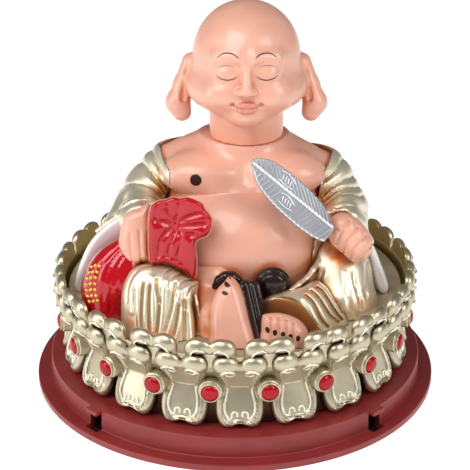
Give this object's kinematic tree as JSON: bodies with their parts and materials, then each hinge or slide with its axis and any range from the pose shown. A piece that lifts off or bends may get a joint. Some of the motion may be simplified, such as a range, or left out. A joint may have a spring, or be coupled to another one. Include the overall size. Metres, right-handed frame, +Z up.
{
  "type": "budai figure",
  "caption": "Seated big-bellied monk figure with sack and leaf fan, on a deck inside a petal crown with domed stones, over a low round base.",
  "frame": {"origin": "centre of the base's underside", "axes": "+Z up, the figure faces -Y, +X to the viewer's right"},
  "size_m": [0.22, 0.22, 0.2096],
  "materials": {
    "base_red_brown": "satin moulded plastic",
    "crown_gold": "champagne gold lacquer",
    "deck_gold": "olive gold lacquer",
    "figure_painted": "painted in flesh, gold, red, white and black-brown",
    "head_skin": "flesh coloured plastic, airbrushed in the hollows",
    "stone_red": "polished red",
    "fan_silver": "silver lacquer"
  },
  "bodies": {
    "root": {"base": "base_red_brown", "crown": "crown_gold", "deck_plate": "deck_gold", "figure_body": "figure_painted", "head": "head_skin", "leaf_fan": "fan_silver", "gem_01": "stone_red", "gem_02": "stone_red", "gem_03": "stone_red", "gem_04": "stone_red", "gem_05": "stone_red", "gem_06": "stone_red", "gem_07": "stone_red", "gem_08": "stone_red", "gem_09": "stone_red", "gem_10": "stone_red", "gem_11": "stone_red", "gem_12": "stone_red", "gem_13": "stone_red", "gem_14": "stone_red", "gem_15": "stone_red", "gem_16": "stone_red", "gem_17": "stone_red", "gem_18": "stone_red", "gem_19": "stone_red", "gem_20": "stone_red"}
  },
  "joints": []
}
